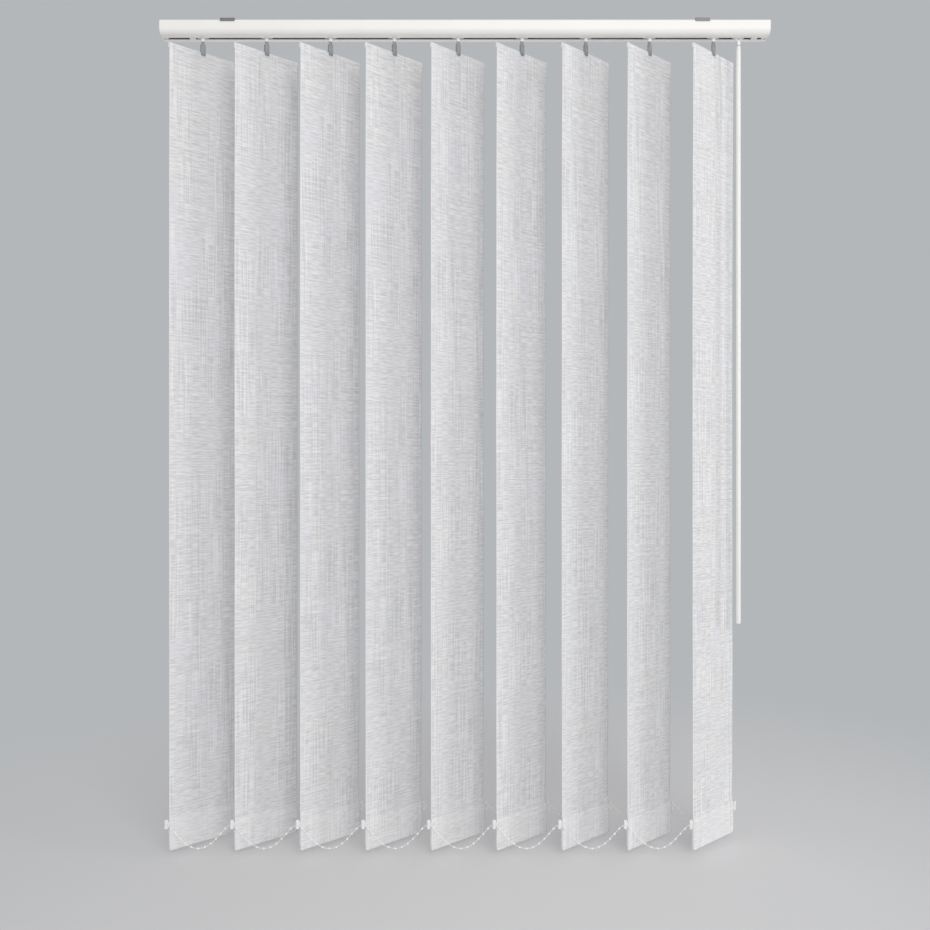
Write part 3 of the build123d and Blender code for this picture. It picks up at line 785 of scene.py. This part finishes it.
def rounded(corners, steps=10):
    """A closed outline from corners of (y, z, radius), in millimetres."""
    points = []
    for k, (y, z, radius) in enumerate(corners):
        corner = Vector((y, z))
        if radius == 0:
            points.append(corner)
            continue
        before = (Vector(corners[k - 1][:2]) - corner).normalized()
        after = (Vector(corners[(k + 1) % len(corners)][:2]) - corner).normalized()
        half = before.angle(after) / 2
        centre = corner + (before + after).normalized() * radius / math.sin(half)
        start = corner + before * radius / math.tan(half) - centre
        sweep = start.angle_signed(corner + after * radius / math.tan(half) - centre)
        for s in range(steps + 1):
            points.append(centre + Matrix.Rotation(-sweep * s / steps, 2) @ start)
    return points


# %% A prism and a clean mesh


def prism(name, near, far, material):
    """A closed piece between two like outlines, each a list of points in metres."""
    count = len(near)
    faces = [[k, (k + 1) % count, count + (k + 1) % count, count + k] for k in range(count)]
    faces += [list(range(count)), list(range(count, 2 * count))]
    return mesh_object(name, near + far, faces, material)


def tidy_mesh(piece, angle=35):
    """Merges doubles, turns faces outwards and smooths all edges that are blunter than an angle."""
    work = bmesh.new()
    work.from_mesh(piece.data)
    bmesh.ops.remove_doubles(work, verts=work.verts, dist=0.001 * MM)
    bmesh.ops.recalc_face_normals(work, faces=work.faces)
    for edge in work.edges:
        edge.smooth = len(edge.link_faces) == 2 and edge.calc_face_angle() < math.radians(angle)
    for face in work.faces:
        face.smooth = True
    work.to_mesh(piece.data)
    work.free()


# %% Rail sizes, in millimetres
rail_low, rail_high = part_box("headrail")
rail_wall = 1.2
rail_corner = 12.0
top_corner = 2.0
lip_corner = 0.3
slot_half = 4.0
rib_offset = 14.0
rib_half = 0.5
rib_height = 1.6
rail_half = rail_high.y / MM
rail_top = rail_high.z / MM
rail_bottom = rail_low.z / MM
rail_start = rail_low.x / MM
rail_run = (rail_high.x - rail_low.x) / MM
inner_half = rail_half - rail_wall
inner_top = rail_top - rail_wall
inner_bottom = rail_bottom + rail_wall
rib_foot = inner_top - rib_height

# %% Extrude the rail
channel = [
    (slot_half, rail_bottom, lip_corner), (rail_half, rail_bottom, rail_corner),
    (rail_half, rail_top, top_corner), (-rail_half, rail_top, top_corner),
    (-rail_half, rail_bottom, rail_corner), (-slot_half, rail_bottom, lip_corner),
    (-slot_half, inner_bottom, lip_corner), (-inner_half, inner_bottom, rail_corner - rail_wall),
    (-inner_half, inner_top, top_corner - rail_wall),
]
for side in (-1, 1):
    middle = side * rib_offset
    channel += [(middle - rib_half, inner_top, 0), (middle - rib_half, rib_foot, 0),
                (middle + rib_half, rib_foot, 0), (middle + rib_half, inner_top, 0)]
channel += [
    (inner_half, inner_top, top_corner - rail_wall), (inner_half, inner_bottom, rail_corner - rail_wall),
    (slot_half, inner_bottom, lip_corner),
]
outline = rounded(channel)
rail_ends = [[(x * MM, p[0] * MM, p[1] * MM) for p in outline] for x in (rail_start, rail_start + rail_run)]
rail = prism("headrail_extrusion", *rail_ends, powder_coat)
tidy_mesh(rail)
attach(rail, "rail")
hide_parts("headrail")
print("rail:", round(rail_run), "mm long")

# %% [markdown]
# The bottom chains
#
# Each chain is beads on a thin link, hung in a shallow curve between C-shaped clips that swivel on the
# weights' pegs. A chain is the classic job for instances: one curve for each span, one bead at every
# equal step of its length, one clip at every slat. The moulded links are a little stiff, so the curve
# leaves each clip flatter than a free chain would.

# %% Chain sizes, in millimetres
pitch = (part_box("stem_2")[0].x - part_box("stem_1")[0].x) / MM
chain_sag = 40.0
chain_stiff_length = 9.0
chain_reach = 3.35
peg_overhang = 4.0
peg_reach = slat_width / 2 + peg_overhang
peg_height = -1389.0
beads_per_span = 11
link_radius = 0.45
span_steps = 96
print("slats stand", round(pitch, 2), "mm apart")

# %% The chain's curve


def chain_drop(along):
    """How far the chain hangs below its clips at a distance along one span."""
    def shape(x):
        near = min(x, pitch - x)
        curve = 4 * near * (pitch - near) / pitch ** 2
        stiff = 4 * chain_stiff_length / pitch * (1 - math.exp(-near / chain_stiff_length))
        return curve - stiff
    return chain_sag * shape(along) / shape(pitch / 2)


def chain_curve(side):
    """All spans of one chain. The side is -1 for the front and 1 for the rear."""
    hold = side * (peg_reach + chain_reach)
    turn = math.radians(rest_angle)
    along = [pitch * k / span_steps for k in range(span_steps + 1)]
    spans = []
    for number in range(1, slat_count):
        middle = stem_axis(number)[0] / MM
        spans.append([
            Vector((middle + x + hold * math.cos(turn), hold * math.sin(turn),
                    peg_height - chain_drop(x))) * MM
            for x in along
        ])
    return poly_curve("chain_spans", spans)


# %% [markdown]
# A bead and a clip to repeat
#
# A bead is a small egg round the link, and a clip is a flat C whose two jaws close on the weight's peg.
# They are repeated many times, so the bead is turned from a profile with only a few dozen faces, and the
# clip is an outline with a thickness, whose edges are softly broken as on a moulding.

# %% Turned pieces


def turned(name, profile, material, segments, place=(0, 0)):
    """A turned piece about an upright axis, from (radius, z) pairs in millimetres, closed at its poles."""
    on_axis = 1e-6
    turns = [2 * math.pi * k / segments for k in range(segments)]
    work = bmesh.new()
    rings = []
    for radius, z in profile:
        if radius < on_axis:
            rings.append([work.verts.new((place[0] * MM, place[1] * MM, z * MM))])
            continue
        rings.append([work.verts.new(((place[0] + radius * math.cos(t)) * MM,
                                      (place[1] + radius * math.sin(t)) * MM, z * MM)) for t in turns])
    for near, far in zip(rings, rings[1:]):
        for k in range(segments):
            corners = [near[k % len(near)], near[(k + 1) % len(near)],
                       far[(k + 1) % len(far)], far[k % len(far)]]
            unique = list(dict.fromkeys(corners))
            if len(unique) > 2:
                work.faces.new(unique)
    mesh = bpy.data.meshes.new(name)
    work.to_mesh(mesh)
    work.free()
    mesh.materials.append(material)
    piece = in_scene(name, mesh)
    tidy_mesh(piece)
    return piece


# %% The bead
bead_radius = 1.9
bead_stretch = 1.05
bead_rings = 6
bead_segments = 8
angles = [math.pi * k / bead_rings for k in range(bead_rings + 1)]
bead_profile = [(bead_radius * math.sin(a), -bead_radius * bead_stretch * math.cos(a)) for a in angles]
bead = turned("bead", bead_profile, chain_plastic, bead_segments)
print("one bead:", len(bead.data.polygons), "faces")

# %% The clip
clip_height = 14.6
clip_jaw = 2.9
clip_width = 2.7
clip_waist = 0.55
clip_inner = 1.5
spine_near = 1.6
spine_thick = 1.9
waist_end = 2.6
waist_half = 1.6
back_corner = 1.4
jaw_corner = 0.9
waist_corner = 0.7
clip_edge = 0.5
sharp_angle = 50


def clip_mesh():
    """One C-shaped clip about its peg: outline in the radial direction and Z, as thick as it is wide."""
    outer = spine_near + spine_thick
    waist = outer - clip_waist
    half = clip_height / 2
    gap = half - clip_jaw
    corners = [
        (outer, -half, back_corner), (outer, -waist_end, jaw_corner), (waist, -waist_half, waist_corner),
        (waist, waist_half, waist_corner), (outer, waist_end, jaw_corner), (outer, half, back_corner),
        (-clip_inner, half, jaw_corner), (-clip_inner, gap, jaw_corner), (spine_near, gap, jaw_corner),
        (spine_near, -gap, jaw_corner), (-clip_inner, -gap, jaw_corner), (-clip_inner, -half, jaw_corner),
    ]
    outline = rounded(corners, 4)
    sides = [[(p[0] * MM, y * MM, p[1] * MM) for p in outline] for y in (-clip_width / 2, clip_width / 2)]
    piece = prism("clip", *sides, chain_plastic)
    edge = piece.modifiers.new("edge", "BEVEL")
    edge.width = clip_edge * MM
    edge.segments = 2
    edge.limit_method = "ANGLE"
    edge.angle_limit = math.radians(sharp_angle)
    mesh = applied(piece)
    piece.modifiers.clear()
    piece.data = mesh
    tidy_mesh(piece, sharp_angle)
    return piece


clip = clip_mesh()
print("one clip:", len(clip.data.polygons), "faces")

# %% [markdown]
# The chain's tree
#
# The tree sweeps a thin ring along the spans, puts beads on them at equal steps, each turned along the
# chain, and sets a clip at every peg. Beads laid one by one would look the same, but with the tree a
# change of one number restrings both chains.

# %% The chain tree and its inputs
chain_tree, chain_inputs, given = new_tree("bead_chain", {
    "Geometry": ("NodeSocketGeometry", None),
    "Beads per Span": ("NodeSocketInt", beads_per_span),
    "Link Radius": ("NodeSocketFloat", link_radius * MM),
    "Bead": ("NodeSocketObject", None),
    "Clip": ("NodeSocketObject", None),
    "Clip Turn": ("NodeSocketFloat", 0.0),
    "Pitch": ("NodeSocketFloat", pitch * MM),
    "First Clip": ("NodeSocketVector", None),
    "Clips": ("NodeSocketInt", slat_count),
    "Plastic": ("NodeSocketMaterial", None),
})

# %% Links, beads and clips
link_segments = 8
ring = add(chain_tree, "GeometryNodeCurvePrimitiveCircle", {"Resolution": link_segments},
           {"Radius": given["Link Radius"]})
links = add(chain_tree, "GeometryNodeCurveToMesh", {"Fill Caps": True},
            {"Curve": given["Geometry"], "Profile Curve": ring.outputs["Curve"]})
steps = add(chain_tree, MATH, {"operation": "ADD", 1: 2.0}, {0: given["Beads per Span"]})
even = add(chain_tree, "GeometryNodeResampleCurve", {}, {"Curve": given["Geometry"], "Count": steps})
ends = add(chain_tree, "GeometryNodeCurveEndpointSelection")
between = add(chain_tree, MATH, {"operation": "SUBTRACT", 0: 1.0}, {1: ends})
tangent = add(chain_tree, "GeometryNodeInputTangent")
aligned = add(chain_tree, "FunctionNodeAlignRotationToVector", {"axis": "Z"}, {"Vector": tangent})
strung = add(chain_tree, "GeometryNodeObjectInfo", {"transform_space": "ORIGINAL"},
             {"Object": given["Bead"]})
beads = add(chain_tree, "GeometryNodeInstanceOnPoints", {}, {
    "Points": even, "Selection": between, "Instance": strung.outputs["Geometry"], "Rotation": aligned,
})
step = add(chain_tree, "ShaderNodeCombineXYZ", {}, {"X": given["Pitch"]})
pegs = add(chain_tree, "GeometryNodeMeshLine", {"mode": "OFFSET"},
           {"Count": given["Clips"], "Start Location": given["First Clip"], "Offset": step})
turn = add(chain_tree, "ShaderNodeCombineXYZ", {}, {"Z": given["Clip Turn"]})
turned_by = add(chain_tree, "FunctionNodeEulerToRotation", {}, {0: turn})
jaw = add(chain_tree, "GeometryNodeObjectInfo", {"transform_space": "ORIGINAL"},
          {"Object": given["Clip"]})
clips = add(chain_tree, "GeometryNodeInstanceOnPoints", {},
            {"Points": pegs, "Instance": jaw.outputs["Geometry"], "Rotation": turned_by})
joined = add(chain_tree, "GeometryNodeJoinGeometry")
for part in (links, beads, clips):
    chain_tree.links.new(part.outputs[0], joined.inputs[0])
end_tree(chain_tree, joined, given["Plastic"])

# %% String both chains
turn = math.radians(rest_angle)
first_x = stem_axis(1)[0]
for side, label in ((-1, "front"), (1, "rear")):
    reach = side * peg_reach * MM
    peg_place = (first_x + reach * math.cos(turn), reach * math.sin(turn), peg_height * MM)
    chain = made_by(chain_tree, chain_curve(side), {
        chain_inputs["Bead"]: bead,
        chain_inputs["Clip"]: clip,
        chain_inputs["Clip Turn"]: turn if side > 0 else turn + math.pi,
        chain_inputs["First Clip"]: peg_place,
        chain_inputs["Plastic"]: chain_plastic,
    }, f"{label}_bead_chain")
    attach(chain, f"{label}_links")
    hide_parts(f"{label}_chain")
    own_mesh(chain)
    print(label, "chain:", len(chain.data.polygons), "faces")
bpy.data.objects.remove(bead)
bpy.data.objects.remove(clip)

# %% [markdown]
# The wand
#
# The wand is a long extruded rod that narrows a little under its swivel, with a rounded, whiter tip
# pushed on its end. Both are turned pieces, so a profile and one turn make them.

# %% Wand sizes, in millimetres
wand_low, wand_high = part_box("wand")
tip_low, tip_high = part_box("wand_tip")
wand_x = (wand_low.x + wand_high.x) / 2 / MM
wand_top = wand_high.z / MM
tip_top = tip_high.z / MM
tip_bottom = tip_low.z / MM
wand_radius = (wand_high.x - wand_low.x) / 2 / MM
neck_radius = 3.6
wand_taper = 8.0
tip_round = 2.6
bore = 1.8
bore_depth = 14
edge = 0.35
wand_segments = 40
arc_step = 15
print("wand and tip:", round(wand_top - tip_bottom), "mm long")

# %% Turn the wand and its tip
wand_profile = [
    (0, wand_top - bore_depth), (bore, wand_top - bore_depth), (bore, wand_top - edge),
    (bore + edge, wand_top), (neck_radius - edge, wand_top), (neck_radius, wand_top - edge),
    (wand_radius, wand_top - wand_taper), (wand_radius, tip_top + edge), (wand_radius - edge, tip_top),
    (0, tip_top),
]
wand = turned("wand_rod_turned", wand_profile, wand_plastic, wand_segments, (wand_x, 0))
tip_profile = [(0, tip_top), (wand_radius - edge, tip_top), (wand_radius, tip_top - edge)]
tip_profile += [
    (wand_radius - tip_round + tip_round * math.cos(t), tip_bottom + tip_round - tip_round * math.sin(t))
    for t in (math.radians(a) for a in range(0, 91, arc_step))
]
tip_profile += [(0, tip_bottom)]
tip = turned("wand_tip_turned", tip_profile, tip_plastic, wand_segments, (wand_x, 0))
for piece, node, slot in ((wand, "wand", "wand"), (tip, "wand_tip", "tip")):
    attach(piece, "wand_rod")
    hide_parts(node)
